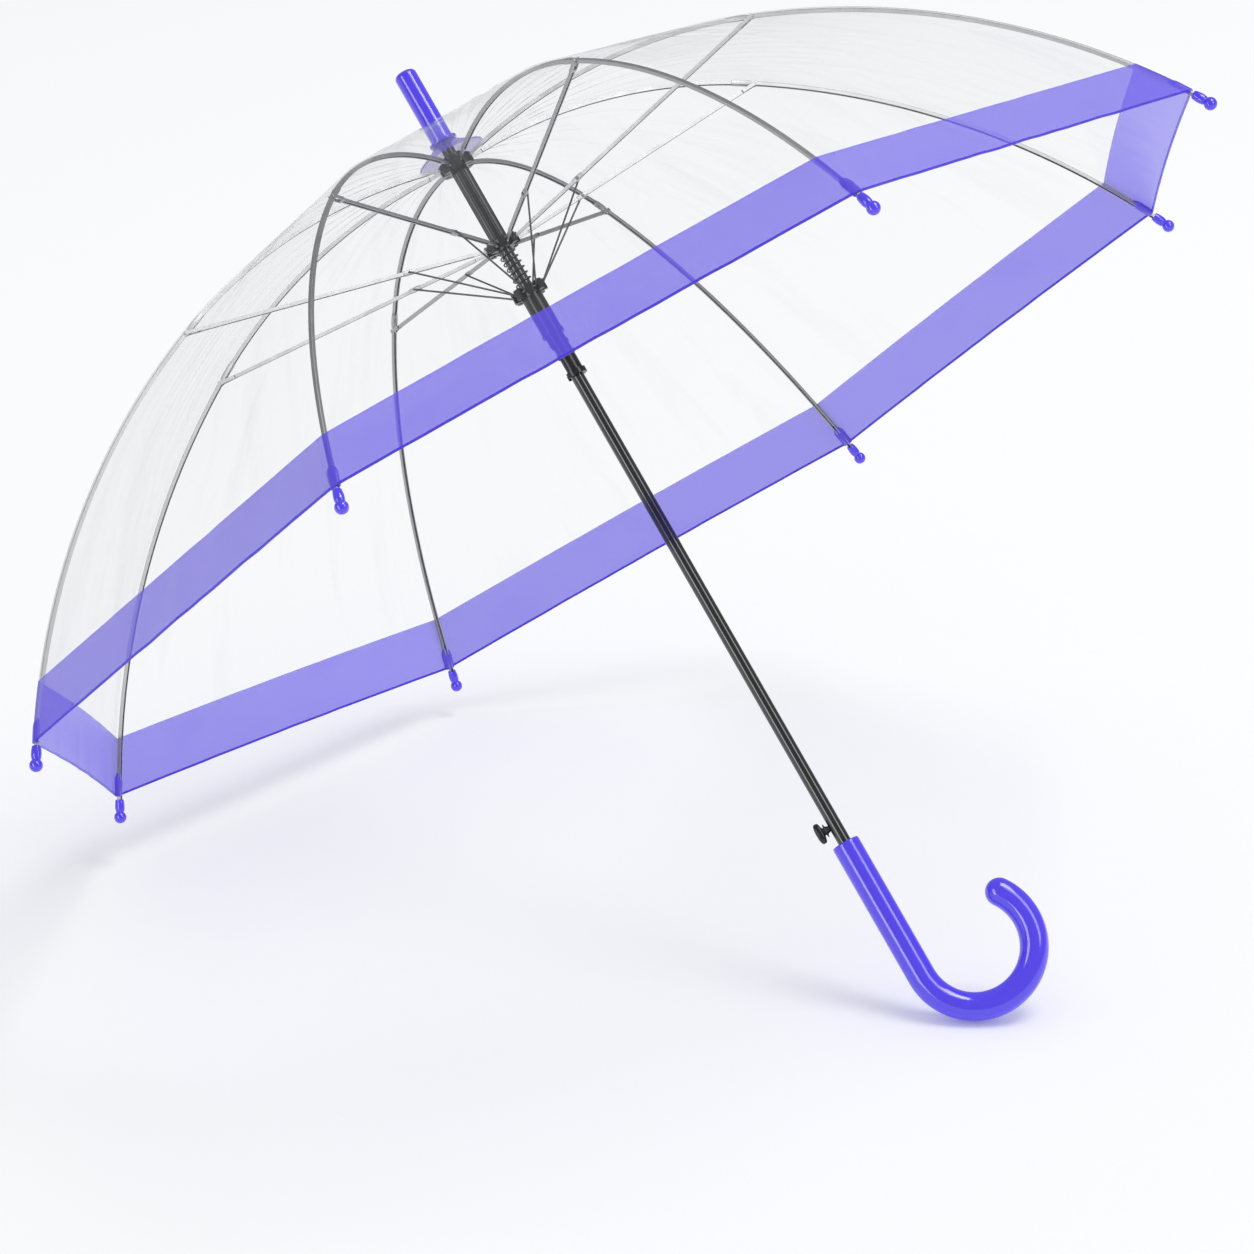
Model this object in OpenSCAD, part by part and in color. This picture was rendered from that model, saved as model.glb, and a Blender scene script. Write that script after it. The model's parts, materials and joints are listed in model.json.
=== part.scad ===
// Automatic stick umbrella with a clear canopy, standing open with its hook down.
// The shaft's axis is Z, the hook points to +X and the button to -X.
// The origin is on the shaft's axis, level with the lowest point of the hook.

/* [Canopy] */
// Radius of the ring of tip balls when open
tip_ring_r = 500; // [490:1:510]
// Drop from the crown's pivots to the tip balls
tip_drop = 270; // [260:1:280]
// Slope of a rib at its stretcher joint, in degrees below level
joint_slope = 26; // [24:1:28]
// Thickness of the canopy film's solid
film_t = 0.5; // [0.4:0.1:0.8]
// How far the hem rises between two ribs
scallop = 4; // [4:1:20]
// Hollow of the film between two ribs, as a share of the gore's width
film_hollow = 0.01; // [0:0.01:0.04]

/* [Frame] */
// Radius of the rib, stretcher and wire pivots around the shaft
pivot_r = 11; // [11:0.1:11.5]
// Radius of the ring of rib and stretcher joints when open
joint_ring_r = 250; // [240:1:252]
// Drop from the crown's pivots to the upper runner's pivots when open
runner_drop = 70; // [66:1:74]
// Distance between the pivots of the two runners when open
runner_gap = 40; // [38:1:42]
// Distance from a stretcher's runner end to its wire joint
wire_joint = 66; // [62:1:68]
// Width of a rib's channel section
rib_w = 2.8; // [2.6:0.1:2.8]
// Height of a rib's channel section
rib_h = 3; // [2.6:0.1:3]
// Sheet thickness of ribs and stretchers
sheet_t = 0.6; // [0.5:0.05:0.6]
// Diameter of the spring wires that join stretchers and lower runner
wire_d = 1.4; // [1.2:0.1:1.4]

/* [Tips] */
// Diameter of a tip ball
tip_ball_d = 9.5; // [8:0.5:10]
// Diameter of a tip's barrel
tip_barrel_d = 7; // [6:0.5:7.5]
// Length of the barrel that shows beyond the ball
tip_barrel_len = 9; // [7:0.5:10]

/* [Shaft and handle] */
// Outside diameter of the shaft tube
shaft_d = 10; // [9.8:0.1:10]
// Wall of the shaft tube
shaft_wall = 0.7; // [0.5:0.1:0.8]
// Drop from the crown's pivots to the top of the handle
grip_drop = 574; // [572:1:600]
// Diameter of the handle
grip_d = 21; // [19:0.5:22]
// Straight length of the handle
grip_straight = 110; // [90:5:140]
// Radius of the hook's centre line
hook_r = 43; // [38:1:50]
// Turn of the hook, in degrees
hook_turn = 215; // [180:5:220]

/* [Ferrule] */
// Diameter of the ferrule
ferrule_d = 17; // [15:0.5:18]
// Length of the ferrule, from its flange to its end
ferrule_len = 61; // [50:1:70]
// Height of the ferrule's flange above the crown's pivots
ferrule_rise = 18.5; // [17:0.5:24]

/* [Hidden] */
$fn = 48;

// Eight ribs, the first half a gore round from +X
rib_count = 8;
gore = 360 / rib_count;
half_gore = gore / 2;

// Heights above the origin
crown_z = grip_drop + grip_straight + hook_r + grip_d / 2;
upper_z = crown_z - runner_drop;
lower_z = upper_z - runner_gap;
grip_z = crown_z - grip_drop;

// A rib is two arcs that share their slope at the stretcher joint.
// Points in a rib's plane are [distance from the axis, height].
crown_pt = [pivot_r, crown_z];
joint_pt = [joint_ring_r, crown_z - runner_drop / 2];
tip_pt = [tip_ring_r, crown_z - tip_drop];
upper_pt = [pivot_r, upper_z];
lower_pt = [pivot_r, lower_z];
link_len = norm(joint_pt - crown_pt);
inner_chord_slope = slope_between(crown_pt, joint_pt);
outer_chord_slope = slope_between(joint_pt, tip_pt);
inner_r = link_len / (2 * sin(joint_slope - inner_chord_slope));
outer_r = norm(tip_pt - joint_pt) / (2 * sin(outer_chord_slope - joint_slope));
inner_centre = joint_pt - inner_r * up_normal(joint_slope);
outer_centre = joint_pt - outer_r * up_normal(joint_slope);
crown_slope = 2 * inner_chord_slope - joint_slope;
tip_slope = 2 * outer_chord_slope - joint_slope;
inner_len = arc_length(inner_r, joint_slope - crown_slope);
outer_len = arc_length(outer_r, tip_slope - joint_slope);

// The stretcher rises from the upper runner, the wire from the lower one
stretcher_rise = -slope_between(upper_pt, joint_pt);
wire_pt = upper_pt + wire_joint * [cos(stretcher_rise), sin(stretcher_rise)];
wire_len = norm(wire_pt - lower_pt);
wire_rise = -slope_between(lower_pt, wire_pt);
wire_side = 2.3;

// Pivots: pins of the given radii turn in holes this much larger
pin_gap = 0.05;
joint_pin_r = 0.8;
wire_pin_r = 0.75;
ring_wire_r = 0.5;
eye_r = 1.9;
eye_hole_r = 0.6;
eye_half = 0.8;
neck_h = 2.4;
neck_len = 14;

// The joint of rib and stretcher, as distances along the pin from its middle
rib_tongue = 0.55;
rib_fork = 0.75;
fork_in = 1.6;
fork_out = 2.3;
fork_len = 10.5;
stretcher_w = 2.6;
stretcher_h = 2.6;

// Crown and runners are notched discs; a notch lets the rib, stretcher and wire through
hub_r = 13.5;
hub_h = 8;
hub_core_r = 8.2;
notch_from = -1.5;
notch_to = 3.4;
run_gap = 0.08;

// Film: distance from the rib's centre line to the film's underside, and the mesh's steps
film_lift = 3.0;
film_start = 6;
bare_end = 2.5;
film_rows = 22;
film_cols = 4;
panel_gap = 0.15;

function slope_between(a, b) = atan2(a[1] - b[1], b[0] - a[0]);
function up_normal(slope) = [sin(slope), cos(slope)];
function arc_length(radius, turn) = radius * turn * PI / 180;
function arc_turn(radius, length) = length / radius * 180 / PI;

// Point on the rib's centre line, with its slope, at a distance along the rib from the crown
function rib_slope(s) = s < inner_len
    ? crown_slope + arc_turn(inner_r, s)
    : joint_slope + arc_turn(outer_r, s - inner_len);
function rib_point(s, lift) = s < inner_len
    ? inner_centre + (inner_r + lift) * up_normal(rib_slope(s))
    : outer_centre + (outer_r + lift) * up_normal(rib_slope(s));

// Repeats a part at rib number k, made in the X-Z plane
module at_rib(k) {
    rotate([0, 0, half_gore + gore * (k - 1)]) children();
}

// A disc or pin on the Y axis, at a point of the rib's plane
module cross_pin(point, radius, y_from, y_to) {
    translate([point[0], y_to, point[1]]) rotate([90, 0, 0]) cylinder(r = radius, h = y_to - y_from);
}

// Sweeps a section along an arc between two slopes; section x is outwards from the arc's line
module along_arc(centre, radius, slope_a, slope_b) {
    translate([centre[0], 0, centre[1]]) rotate([90, 0, 0]) rotate([0, 0, 90 - slope_b])
        rotate_extrude(angle = slope_b - slope_a, $fn = 360) translate([radius, 0]) children();
}

// Bar frame: local X runs from a point of the rib's plane, rising by an angle
module along_bar(point, rise) {
    translate([point[0], 0, point[1]]) rotate([0, -rise, 0]) children();
}

// Channel section, open on its lower side
module channel_section(width, height) {
    difference() {
        translate([-height / 2, -width / 2]) square([height, width]);
        translate([-height / 2 - 1, -width / 2 + sheet_t]) square([height - sheet_t + 1, width - 2 * sheet_t]);
    }
}

module rib_inner(k) color("silver") at_rib(k) {
    tongue_turn = arc_turn(inner_r, 9);
    end_turn = arc_turn(inner_r, 2.6);
    neck_turn = arc_turn(inner_r, neck_len);
    difference() {
        union() {
            cross_pin(crown_pt, eye_r, -eye_half, eye_half);
            along_arc(inner_centre, inner_r, crown_slope, crown_slope + neck_turn)
                square([neck_h, 2 * eye_half], center = true);
        }
        cross_pin(crown_pt, eye_hole_r, -2, 2);
    }
    along_arc(inner_centre, inner_r, crown_slope + 0.9 * neck_turn, joint_slope - end_turn)
        channel_section(rib_w, rib_h);
    along_arc(inner_centre, inner_r, joint_slope - tongue_turn, joint_slope)
        translate([-neck_h / 2, -rib_tongue]) square([neck_h, 2 * rib_tongue]);
    cross_pin(joint_pt, eye_r, -rib_tongue, rib_tongue);
    cross_pin(joint_pt, joint_pin_r, -fork_out - 0.2, fork_out + 0.2);
}

module rib_outer(k) color("silver") at_rib(k) {
    end_turn = arc_turn(outer_r, 3);
    difference() {
        union() {
            cross_pin(joint_pt, eye_r, -rib_w / 2, rib_w / 2);
            along_arc(outer_centre, outer_r, joint_slope, tip_slope - end_turn)
                channel_section(rib_w, rib_h);
        }
        cross_pin(joint_pt, 2.8, -rib_fork, rib_fork);
        cross_pin(joint_pt, joint_pin_r + pin_gap, -3, 3);
    }
}

// Plastic cap on a rib's end: ball, barrel and lip, with a hole for the rib
module rib_tip(k) color("mediumslateblue") at_rib(k) along_bar(tip_pt, -tip_slope) {
    ball_r = tip_ball_d / 2;
    barrel_end = ball_r + tip_barrel_len;
    difference() {
        union() {
            sphere(d = tip_ball_d);
            rotate([0, -90, 0]) cylinder(d = tip_barrel_d, h = barrel_end);
            translate([1.2 - barrel_end, 0, 0]) rotate([0, -90, 0]) cylinder(d = tip_barrel_d + 0.8, h = 1.2);
        }
        translate([-2, 0, 0]) rotate([0, -90, 0]) cylinder(r = 2.3, h = barrel_end);
    }
}

module stretcher(k) color("gray") at_rib(k) along_bar(upper_pt, stretcher_rise) {
    difference() {
        union() {
            cross_pin([0, 0], eye_r, -eye_half, eye_half);
            translate([0, -eye_half, -neck_h / 2]) cube([neck_len, 2 * eye_half, neck_h]);
            translate([neck_len - 1, 0, 0]) rotate([90, 0, 90])
                linear_extrude(link_len - fork_len - neck_len + 1) rotate([0, 0, 90])
                channel_section(stretcher_w, stretcher_h);
            translate([link_len - fork_len - 3, -fork_out, -stretcher_h / 2])
                cube([3, 2 * fork_out, stretcher_h]);
            for (side = [-1, 1]) {
                y_from = side > 0 ? fork_in : -fork_out;
                translate([link_len - fork_len - 1, y_from, -stretcher_h / 2])
                    cube([fork_len + 1, fork_out - fork_in, stretcher_h]);
                cross_pin([link_len, 0], eye_r, y_from, y_from + fork_out - fork_in);
            }
        }
        cross_pin([link_len, 0], joint_pin_r + pin_gap, -3, 3);
        cross_pin([wire_joint, 0], wire_pin_r + pin_gap, -3, 3);
        cross_pin([0, 0], eye_hole_r, -2, 2);
    }
}

// Spring wire beside the stretcher: each end is bent across, the upper one through the stretcher
module spring_wire(k) color("dimgray") at_rib(k) along_bar(lower_pt, wire_rise) {
    translate([0, wire_side, 0]) rotate([0, 90, 0]) cylinder(d = wire_d, h = wire_len);
    cross_pin([0, 0], wire_d / 2, -1, wire_side);
    translate([0, wire_side, 0]) sphere(d = wire_d);
    cross_pin([wire_len, 0], wire_pin_r, -1.9, wire_side);
    translate([wire_len, wire_side, 0]) sphere(r = wire_pin_r);
    cross_pin([wire_len, 0], 1.3, -2.1, -1.6);
}

// Film around one rib, out to the middle of the gore on each side.
// Rows follow the rib from crown to hem, columns go across it.
function film_hollow_at(col) = 1 - pow(1 - abs(col) / film_cols, 2);
function film_vertex(row, col, lift) =
    let(
        hem = inner_len + outer_len - tip_ball_d / 2 - tip_barrel_len - bare_end,
        s = film_start + (hem - film_start - scallop * film_hollow_at(col)) * row / film_rows,
        at_rib_pt = rib_point(s, lift),
        spread = (half_gore - atan(panel_gap / at_rib_pt[0])) * col / film_cols,
        sag = film_hollow * 2 * at_rib_pt[0] * sin(half_gore) * film_hollow_at(col),
        pt = at_rib_pt - sag * up_normal(rib_slope(s)),
        reach = pt[0] * cos(half_gore) / cos(half_gore - abs(spread))
    ) [reach * cos(spread), reach * sin(spread), pt[1]];

module canopy_panel(k) {
    across = 2 * film_cols + 1;
    sheet = across * (film_rows + 1);
    points = [
        for (lift = [film_lift, film_lift + film_t], row = [0:film_rows], col = [-film_cols:film_cols])
            film_vertex(row, col, lift)
    ];
    faces = [
        for (row = [0:film_rows - 1], col = [0:across - 2])
            let(a = row * across + col, b = a + 1, c = a + across, d = c + 1)
            each [[a, b, c], [b, d, c], [sheet + a, sheet + c, sheet + b], [sheet + b, sheet + c, sheet + d]],
        for (row = [0:film_rows - 1], edge = [0, across - 1])
            let(a = row * across + edge, c = a + across)
            each edge == 0
                ? [[a, c, sheet + a], [c, sheet + c, sheet + a]]
                : [[a, sheet + a, c], [c, sheet + a, sheet + c]],
        for (row = [0, film_rows], col = [0:across - 2])
            let(a = row * across + col, b = a + 1)
            each row == 0
                ? [[a, sheet + a, b], [b, sheet + a, sheet + b]]
                : [[a, b, sheet + a], [b, sheet + b, sheet + a]]
    ];
    color("lavender", 0.5) at_rib(k) polyhedron(points, faces);
}

// A disc with eight notches around a sleeve, as on the crown and both runners
module notched_hub(z_mid, from, to) {
    difference() {
        translate([0, 0, z_mid - hub_h / 2]) cylinder(r = hub_r, h = hub_h);
        for (k = [1:rib_count]) at_rib(k)
            translate([hub_core_r, from, z_mid - hub_h]) cube([hub_r, to - from, 2 * hub_h]);
    }
}

module bored(radius, z_from, z_to) {
    difference() {
        children();
        translate([0, 0, z_from]) cylinder(r = radius, h = z_to - z_from);
    }
}

// Steel tube with a window for the button, on its -X side
module shaft() color("black") {
    top = crown_z + 40;
    bottom = grip_z - 60;
    difference() {
        translate([0, 0, bottom]) cylinder(d = shaft_d, h = top - bottom);
        translate([0, 0, bottom - 1]) cylinder(r = shaft_d / 2 - shaft_wall, h = top - bottom + 2);
        translate([-shaft_d, -2, button_z - 3.2]) cube([shaft_d, 4, 6.4]);
    }
}

module grip() color("mediumslateblue") {
    radius = grip_d / 2;
    edge = 1.5;
    end_angle = hook_turn - 180;
    end_step = 0.05;
    bored(shaft_d / 2, grip_z - 60, grip_z + 1) {
        translate([0, 0, grip_z - grip_straight]) rotate_extrude() {
            square([radius - edge, grip_straight]);
            square([radius, grip_straight - edge]);
            translate([radius - edge, grip_straight - edge]) intersection() {
                circle(edge);
                square(edge);
            }
        }
        translate([hook_r, 0, grip_z - grip_straight]) {
            rotate([90, 0, 0]) rotate([0, 0, 180]) rotate_extrude(angle = hook_turn, $fn = 96)
                translate([hook_r, 0]) circle(radius);
            translate([hook_r * cos(end_angle), 0, hook_r * sin(end_angle)]) sphere(radius - end_step);
        }
    }
}

// Crown: holds the rib ends on a ring of wire, laid in a groove in its top
module crown() color("dimgray") {
    groove = ring_wire_r + pin_gap;
    difference() {
        bored(shaft_d / 2, crown_z - 10, crown_z + 10) union() {
            notched_hub(crown_z - 1, -1.1, 1.1);
            translate([0, 0, crown_z - 5]) cylinder(r = hub_core_r, h = 12);
        }
        translate([0, 0, crown_z - groove]) rotate_extrude()
            translate([pivot_r - groove, 0]) square([2 * groove, hub_h]);
    }
}

module crown_wire() color("silver") translate([0, 0, crown_z])
    rotate_extrude($fn = 96) translate([pivot_r, 0]) circle(ring_wire_r, $fn = 24);

module ferrule() color("mediumslateblue") {
    radius = ferrule_d / 2;
    dome = 4;
    bored(shaft_d / 2, crown_z, crown_z + 40) translate([0, 0, crown_z + ferrule_rise]) rotate_extrude() {
        square([radius, ferrule_len - dome]);
        square([radius - dome, ferrule_len]);
        translate([radius - dome, ferrule_len - dome]) intersection() {
            circle(dome);
            square(dome);
        }
        square([radius + 2.5, 2]);
    }
}

// Translucent skirt under the ferrule, spread over the hole in the canopy's top
module ferrule_skirt() color("thistle", 0.6) {
    rim_r = 26;
    rim_z = 6.5;
    bored(shaft_d / 2, crown_z, crown_z + ferrule_rise + 1) translate([0, 0, crown_z]) rotate_extrude()
        polygon([
            [4, ferrule_rise], [4, ferrule_rise - 1.2], [9.5, ferrule_rise - 1.2], [13, ferrule_rise - 4.5],
            [rim_r - 7, rim_z + 2.2], [rim_r, rim_z], [rim_r + 0.3, rim_z + 0.9],
            [rim_r - 6.6, rim_z + 3.4], [14, ferrule_rise - 3.6], [11, ferrule_rise]
        ]);
}

// Sleeve that stops the upper runner, with notches round both ends
module stop_sleeve() color("dimgray") {
    top = crown_z - hub_h / 2 - 1;
    bottom = upper_z + hub_h / 2 + 0.3;
    radius = 6.75;
    difference() {
        translate([0, 0, bottom]) cylinder(r = radius, h = top - bottom);
        translate([0, 0, bottom - 1]) cylinder(d = shaft_d, h = top - bottom + 2);
        for (turn = [0:90:270], z = [bottom, top]) rotate([0, 0, turn])
            translate([shaft_d / 2 + 0.7, -1.2, z - 2.5]) cube([radius, 2.4, 5]);
    }
}

module upper_runner() color("dimgray") bored(shaft_d / 2 + run_gap, upper_z - 10, upper_z + 10) {
    notched_hub(upper_z, notch_from, notch_to);
}

// Lower runner: notched hub, hand sleeve, flange and a slotted neck that passes the button
module lower_runner() color("dimgray") {
    sleeve_len = 37;
    neck_end = 72;
    difference() {
        bored(shaft_d / 2 + run_gap, lower_z - neck_end - 1, lower_z + 10) union() {
            notched_hub(lower_z, notch_from, notch_to);
            translate([0, 0, lower_z - sleeve_len]) cylinder(r = 8, h = sleeve_len);
            translate([0, 0, lower_z - sleeve_len]) cylinder(r = 8.7, h = 2.5);
            translate([0, 0, lower_z - neck_end]) cylinder(r = 6.9, h = neck_end);
            for (down = [46, 55]) translate([0, 0, lower_z - down]) cylinder(r = 7.6, h = 2.4);
            translate([0, 0, lower_z - neck_end]) cylinder(r = 8.3, h = 4);
        }
        translate([-2 * shaft_d, -4.6, lower_z - neck_end - 1]) cube([2 * shaft_d, 9.2, 29]);
    }
}

// Coil between the runners: a tube of eight sides carried along a helix
module coil_spring() {
    coil_r = 6.4;
    wire_r = 0.6;
    turns = 6.5;
    steps = 104;
    sides = 6;
    z_top = upper_z - hub_h / 2 - wire_r - 0.1;
    z_bottom = lower_z + hub_h / 2 + wire_r + 0.1;
    points = [
        for (i = [0:steps], j = [0:sides - 1])
            let(turn = 360 * turns * i / steps, side = 360 * j / sides, reach = coil_r + wire_r * cos(side))
            [reach * cos(turn), reach * sin(turn), z_bottom + (z_top - z_bottom) * i / steps + wire_r * sin(side)]
    ];
    faces = [
        [for (j = [0:sides - 1]) j],
        [for (j = [sides - 1:-1:0]) steps * sides + j],
        for (i = [0:steps - 1], j = [0:sides - 1])
            let(a = i * sides + j, b = i * sides + (j + 1) % sides)
            each [[a, a + sides, b], [b, a + sides, b + sides]]
    ];
    color("silver") polyhedron(points, faces);
}

// Button: oval knob, foot plate and a stem through the shaft's window
button_z = grip_z + 14;
button_face = 15.5;
module button() color("black") {
    translate([-button_face, 0, button_z]) rotate([0, 90, 0]) {
        for (side = [-1, 1]) translate([side * 3.6, 0, 0]) cylinder(r = 4.4, h = 5.2);
        translate([-3.6, -4.4, 0]) cube([7.2, 8.8, 5.2]);
    }
    translate([-8.4, -3.9, button_z - 6]) cube([0.9, 7.8, 12]);
    translate([-button_face + 1, -1.8, button_z - 3]) cube([button_face - 4.4, 3.6, 6]);
}

// Leaf spring inside the shaft, bowed from the far wall to the button's stem
module latch_spring() {
    bow_r = 31.7;
    leaf = 0.5;
    half = 39;
    color("silver") intersection() {
        translate([bow_r - 3.1, 0, button_z]) rotate([90, 0, 0]) rotate([0, 0, 180 - half])
            rotate_extrude(angle = 2 * half, $fn = 180) translate([bow_r - leaf, -1.5]) square([leaf, 3]);
        translate([0, 0, button_z - 25]) cylinder(r = shaft_d / 2 - shaft_wall - 0.05, h = 50);
    }
}

shaft();
grip();
crown();
crown_wire();
ferrule();
ferrule_skirt();
stop_sleeve();
upper_runner();
lower_runner();
coil_spring();
button();
latch_spring();
rib_inner(1);  // rib_inner_1
rib_inner(2);  // rib_inner_2
rib_inner(3);  // rib_inner_3
rib_inner(4);  // rib_inner_4
rib_inner(5);  // rib_inner_5
rib_inner(6);  // rib_inner_6
rib_inner(7);  // rib_inner_7
rib_inner(8);  // rib_inner_8
rib_outer(1);  // rib_outer_1
rib_outer(2);  // rib_outer_2
rib_outer(3);  // rib_outer_3
rib_outer(4);  // rib_outer_4
rib_outer(5);  // rib_outer_5
rib_outer(6);  // rib_outer_6
rib_outer(7);  // rib_outer_7
rib_outer(8);  // rib_outer_8
rib_tip(1);  // rib_tip_1
rib_tip(2);  // rib_tip_2
rib_tip(3);  // rib_tip_3
rib_tip(4);  // rib_tip_4
rib_tip(5);  // rib_tip_5
rib_tip(6);  // rib_tip_6
rib_tip(7);  // rib_tip_7
rib_tip(8);  // rib_tip_8
stretcher(1);  // stretcher_1
stretcher(2);  // stretcher_2
stretcher(3);  // stretcher_3
stretcher(4);  // stretcher_4
stretcher(5);  // stretcher_5
stretcher(6);  // stretcher_6
stretcher(7);  // stretcher_7
stretcher(8);  // stretcher_8
spring_wire(1);  // spring_wire_1
spring_wire(2);  // spring_wire_2
spring_wire(3);  // spring_wire_3
spring_wire(4);  // spring_wire_4
spring_wire(5);  // spring_wire_5
spring_wire(6);  // spring_wire_6
spring_wire(7);  // spring_wire_7
spring_wire(8);  // spring_wire_8
canopy_panel(1);  // canopy_panel_1
canopy_panel(2);  // canopy_panel_2
canopy_panel(3);  // canopy_panel_3
canopy_panel(4);  // canopy_panel_4
canopy_panel(5);  // canopy_panel_5
canopy_panel(6);  // canopy_panel_6
canopy_panel(7);  // canopy_panel_7
canopy_panel(8);  // canopy_panel_8
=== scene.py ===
import json
import math

import bpy
import numpy as np
from mathutils import Matrix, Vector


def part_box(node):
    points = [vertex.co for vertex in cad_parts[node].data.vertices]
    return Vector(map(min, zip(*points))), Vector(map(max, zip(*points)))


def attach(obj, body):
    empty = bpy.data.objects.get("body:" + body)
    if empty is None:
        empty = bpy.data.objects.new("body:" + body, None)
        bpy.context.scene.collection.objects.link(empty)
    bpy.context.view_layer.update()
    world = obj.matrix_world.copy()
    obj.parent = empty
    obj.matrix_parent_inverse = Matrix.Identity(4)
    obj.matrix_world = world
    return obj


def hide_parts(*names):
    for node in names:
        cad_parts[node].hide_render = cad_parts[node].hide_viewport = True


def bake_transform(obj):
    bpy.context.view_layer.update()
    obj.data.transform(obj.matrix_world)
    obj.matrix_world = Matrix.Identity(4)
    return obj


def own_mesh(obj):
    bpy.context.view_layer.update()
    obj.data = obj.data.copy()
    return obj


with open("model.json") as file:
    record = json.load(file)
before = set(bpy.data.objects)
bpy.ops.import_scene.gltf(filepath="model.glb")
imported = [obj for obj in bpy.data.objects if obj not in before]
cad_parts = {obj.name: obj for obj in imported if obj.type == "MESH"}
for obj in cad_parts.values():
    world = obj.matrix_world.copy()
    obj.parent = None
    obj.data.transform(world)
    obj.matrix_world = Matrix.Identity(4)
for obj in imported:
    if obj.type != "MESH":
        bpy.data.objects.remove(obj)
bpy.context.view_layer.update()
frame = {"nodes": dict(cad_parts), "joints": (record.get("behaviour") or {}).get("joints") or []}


# ---- Meshes and finishes -----------------------------------------------------------------
# Surfaces are built from grids of points, in metres. Materials are procedural.


def add_object(name, data):
    """Puts an object with this mesh, light or camera in the scene."""
    added = bpy.data.objects.new(name, data)
    bpy.context.scene.collection.objects.link(added)
    return added


def grid_uv(grid):
    """The distance along a grid's rows and down its columns, in metres, at each point."""
    across = np.linalg.norm(np.diff(grid, axis=1), axis=2).max(0).cumsum()
    down = np.linalg.norm(np.diff(grid, axis=0), axis=2).max(1).cumsum()
    return np.stack(np.meshgrid(np.append(0, across), np.append(0, down)), -1)


def skin(name, grid, wrap_rows=False, wrap_cols=True, caps=True, uv=None):
    """A mesh over a grid of points: four neighbours make a face. Rows or columns may join up
    into a loop, and caps closes the first and last row. A shape that holds volume is turned
    so that its faces point outwards, by the sign of the volume that its faces enclose. The UV
    is the distance along the grid, unless it is given."""
    rows, cols = grid.shape[:2]
    row = np.arange(rows if wrap_rows else rows - 1)
    col = np.arange(cols if wrap_cols else cols - 1)
    a = (row[:, None] * cols + col).ravel()
    b = (row[:, None] * cols + (col + 1) % cols).ravel()
    c = ((row[:, None] + 1) % rows * cols + (col + 1) % cols).ravel()
    d = ((row[:, None] + 1) % rows * cols + col).ravel()
    points = grid.reshape(-1, 3)
    faces = np.stack([a, b, c, d], 1)
    p = points[faces]
    volume = (np.cross(p[:, 0], p[:, 1]) * p[:, 2] + np.cross(p[:, 0], p[:, 2]) * p[:, 3]).sum()
    ends = [np.arange(cols)[::-1], (rows - 1) * cols + np.arange(cols)] if caps else []
    polygons = [f.tolist() for f in faces] + [e.tolist() for e in ends]
    if wrap_cols and volume < 0:
        polygons = [f[::-1] for f in polygons]
    mesh = bpy.data.meshes.new(name)
    mesh.from_pydata(points.tolist(), [], polygons)
    mesh.shade_smooth()
    mesh.set_sharp_from_angle(angle=math.radians(40))
    uv = grid_uv(grid) if uv is None else uv
    corner = np.zeros(len(mesh.loops), np.int32)
    mesh.loops.foreach_get("vertex_index", corner)
    mesh.uv_layers.new(name="surface").data.foreach_set("uv", uv.reshape(-1, 2)[corner].ravel())
    return add_object(name, mesh)


def lathe(profile, sides=64):
    """Rings for a turned part: each [radius, height] of the profile swept round the Z axis."""
    turn = np.linspace(0, 2 * np.pi, sides, endpoint=False)
    r, z = np.array(profile, float).T
    return np.stack(
        [np.outer(r, np.cos(turn)), np.outer(r, np.sin(turn)), np.outer(z, np.ones(sides))], 2
    )


def fillet(centre_r, centre_z, radius, start, end, steps=8):
    """Points of an arc in the [radius, height] plane, from one angle to another in degrees."""
    angle = np.radians(np.linspace(start, end, steps))
    return np.stack([centre_r + radius * np.cos(angle), centre_z + radius * np.sin(angle)], 1)


def surface_group():
    """Shader group: two octaves of noise, mixed, as a mask, a roughness and a bump height."""
    group = bpy.data.node_groups.new("surface_variation", "ShaderNodeTree")
    inputs = (("Vector", "Vector"), ("Scale", "Float"), ("Low", "Float"), ("High", "Float"))
    for name, kind in inputs:
        group.interface.new_socket(name, in_out="INPUT", socket_type="NodeSocket" + kind)
    for name in ("Mask", "Roughness", "Height"):
        group.interface.new_socket(name, in_out="OUTPUT", socket_type="NodeSocketFloat")
    nodes, links = group.nodes, group.links
    given, result = nodes.new("NodeGroupInput"), nodes.new("NodeGroupOutput")
    broad, fine = nodes.new("ShaderNodeTexNoise"), nodes.new("ShaderNodeTexNoise")
    finer = nodes.new("ShaderNodeMath")
    finer.operation, finer.inputs[1].default_value = "MULTIPLY", 7.0
    blend, spread = nodes.new("ShaderNodeMix"), nodes.new("ShaderNodeMapRange")
    blend.inputs[0].default_value = 0.35
    links.new(given.outputs["Vector"], broad.inputs["Vector"])
    links.new(given.outputs["Vector"], fine.inputs["Vector"])
    links.new(given.outputs["Scale"], broad.inputs["Scale"])
    links.new(given.outputs["Scale"], finer.inputs[0])
    links.new(finer.outputs[0], fine.inputs["Scale"])
    links.new(broad.outputs["Fac"], blend.inputs[2])
    links.new(fine.outputs["Fac"], blend.inputs[3])
    links.new(blend.outputs[0], spread.inputs["Value"])
    spread.inputs["From Min"].default_value, spread.inputs["From Max"].default_value = 0.3, 0.7
    links.new(given.outputs["Low"], spread.inputs["To Min"])
    links.new(given.outputs["High"], spread.inputs["To Max"])
    links.new(blend.outputs[0], result.inputs["Mask"])
    links.new(spread.outputs["Result"], result.inputs["Roughness"])
    links.new(fine.outputs["Fac"], result.inputs["Height"])
    return group


variation = surface_group()


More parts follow.
